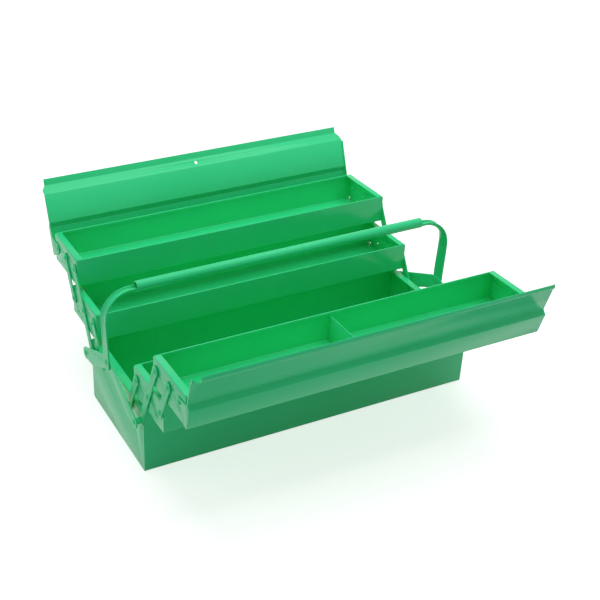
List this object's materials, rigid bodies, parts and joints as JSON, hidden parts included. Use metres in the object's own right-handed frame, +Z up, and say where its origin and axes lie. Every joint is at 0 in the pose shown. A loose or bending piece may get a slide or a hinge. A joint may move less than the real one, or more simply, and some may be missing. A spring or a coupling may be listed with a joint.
{
  "type": "cantilever tool box",
  "caption": "Sheet steel tool box whose stacked trays fan out on riveted arms beneath a two part lid and a tubular carrying handle.",
  "frame": {"origin": "centre of the underside of the bottom tray", "axes": "+X along the box towards its right end, +Y towards its rear, +Z up"},
  "size_m": [0.5622, 0.561, 0.2764],
  "materials": {
    "enamel": "gloss enamel"
  },
  "bodies": {
    "base": {"base_wrap": "enamel", "base_end_left": "enamel", "base_end_right": "enamel", "bracket_left": "enamel", "bracket_right": "enamel", "bracket_spacers": "enamel", "base_rivets": "enamel", "handle_pins": "enamel"},
    "handle": {"handle_grip": "enamel", "handle_strap_left": "enamel", "handle_strap_right": "enamel"},
    "front_long_arms": {"front_long_arm_left": "enamel", "front_long_arm_right": "enamel"},
    "front_lower_links": {"front_lower_link_left": "enamel", "front_lower_link_right": "enamel"},
    "front_upper_links": {"front_upper_link_left": "enamel", "front_upper_link_right": "enamel"},
    "front_lower_tray_body": {"front_lower_tray": "enamel", "front_lower_tray_end_left": "enamel", "front_lower_tray_end_right": "enamel", "front_lower_tray_rivets": "enamel"},
    "front_upper_tray_body": {"front_upper_tray": "enamel", "front_upper_tray_end_left": "enamel", "front_upper_tray_end_right": "enamel", "front_upper_tray_rivets": "enamel", "front_lid_rivets": "enamel", "front_tray_divider": "enamel"},
    "front_lid_half": {"front_lid": "enamel"},
    "rear_long_arms": {"rear_long_arm_left": "enamel", "rear_long_arm_right": "enamel"},
    "rear_lower_links": {"rear_lower_link_left": "enamel", "rear_lower_link_right": "enamel"},
    "rear_upper_links": {"rear_upper_link_left": "enamel", "rear_upper_link_right": "enamel"},
    "rear_lower_tray_body": {"rear_lower_tray": "enamel", "rear_lower_tray_end_left": "enamel", "rear_lower_tray_end_right": "enamel", "rear_lower_tray_rivets": "enamel"},
    "rear_upper_tray_body": {"rear_upper_tray": "enamel", "rear_upper_tray_end_left": "enamel", "rear_upper_tray_end_right": "enamel", "rear_upper_tray_rivets": "enamel", "rear_lid_rivets": "enamel"},
    "rear_lid_half": {"rear_lid": "enamel"}
  },
  "joints": [
    {"name": "front_fan", "type": "hinge", "parent": "base", "child": "front_long_arms", "pos_m": [0, -0.0939, 0.085], "axis": [-1, 0, 0], "range_deg": [0, 68.29]},
    {"name": "front_lower_link_pivot", "type": "hinge", "parent": "base", "child": "front_lower_links", "pos_m": [0, -0.0539, 0.085], "axis": [-1, 0, 0], "range_deg": [0, 68.29]},
    {"name": "front_lower_tray_pivot", "type": "hinge", "parent": "front_long_arms", "child": "front_lower_tray_body", "pos_m": [0, -0.1206, 0.14098], "axis": [-1, 0, 0], "range_deg": [-68.29, 0]},
    {"name": "front_upper_tray_pivot", "type": "hinge", "parent": "front_long_arms", "child": "front_upper_tray_body", "pos_m": [0, -0.1473, 0.19696], "axis": [-1, 0, 0], "range_deg": [-68.29, 0]},
    {"name": "front_upper_link_pivot", "type": "hinge", "parent": "front_lower_tray_body", "child": "front_upper_links", "pos_m": [0, -0.1606, 0.14098], "axis": [-1, 0, 0], "range_deg": [0, 68.29]},
    {"name": "front_lid_hinge", "type": "hinge", "parent": "front_upper_tray_body", "child": "front_lid_half", "pos_m": [0, -0.21863, 0.19566], "axis": [-1, 0, 0], "range_deg": [0, 106]},
    {"name": "rear_fan", "type": "hinge", "parent": "base", "child": "rear_long_arms", "pos_m": [0, 0.0939, 0.085], "axis": [1, 0, 0], "range_deg": [0, 72.79]},
    {"name": "rear_lower_link_pivot", "type": "hinge", "parent": "base", "child": "rear_lower_links", "pos_m": [0, 0.0539, 0.085], "axis": [1, 0, 0], "range_deg": [0, 72.79]},
    {"name": "rear_lower_tray_pivot", "type": "hinge", "parent": "rear_long_arms", "child": "rear_lower_tray_body", "pos_m": [0, 0.12491, 0.13871], "axis": [1, 0, 0], "range_deg": [-72.79, 0]},
    {"name": "rear_upper_tray_pivot", "type": "hinge", "parent": "rear_long_arms", "child": "rear_upper_tray_body", "pos_m": [0, 0.15592, 0.19243], "axis": [1, 0, 0], "range_deg": [-72.79, 0]},
    {"name": "rear_upper_link_pivot", "type": "hinge", "parent": "rear_lower_tray_body", "child": "rear_upper_links", "pos_m": [0, 0.16491, 0.13871], "axis": [1, 0, 0], "range_deg": [0, 72.79]},
    {"name": "rear_lid_hinge", "type": "hinge", "parent": "rear_upper_tray_body", "child": "rear_lid_half", "pos_m": [0, 0.23391, 0.19008], "axis": [1, 0, 0], "range_deg": [0, 111]},
    {"name": "handle_swing", "type": "hinge", "parent": "base", "child": "handle", "pos_m": [0, 0, 0.1257], "axis": [1, 0, 0], "range_deg": [-30, 30]}
  ],
  "couplings": [
    {"joint": "front_lower_link_pivot", "follows": "front_fan", "ratio": 1},
    {"joint": "front_lower_tray_pivot", "follows": "front_fan", "ratio": -1},
    {"joint": "front_upper_tray_pivot", "follows": "front_fan", "ratio": -1},
    {"joint": "front_upper_link_pivot", "follows": "front_fan", "ratio": 1},
    {"joint": "rear_lower_link_pivot", "follows": "rear_fan", "ratio": 1},
    {"joint": "rear_lower_tray_pivot", "follows": "rear_fan", "ratio": -1},
    {"joint": "rear_upper_tray_pivot", "follows": "rear_fan", "ratio": -1},
    {"joint": "rear_upper_link_pivot", "follows": "rear_fan", "ratio": 1}
  ]
}
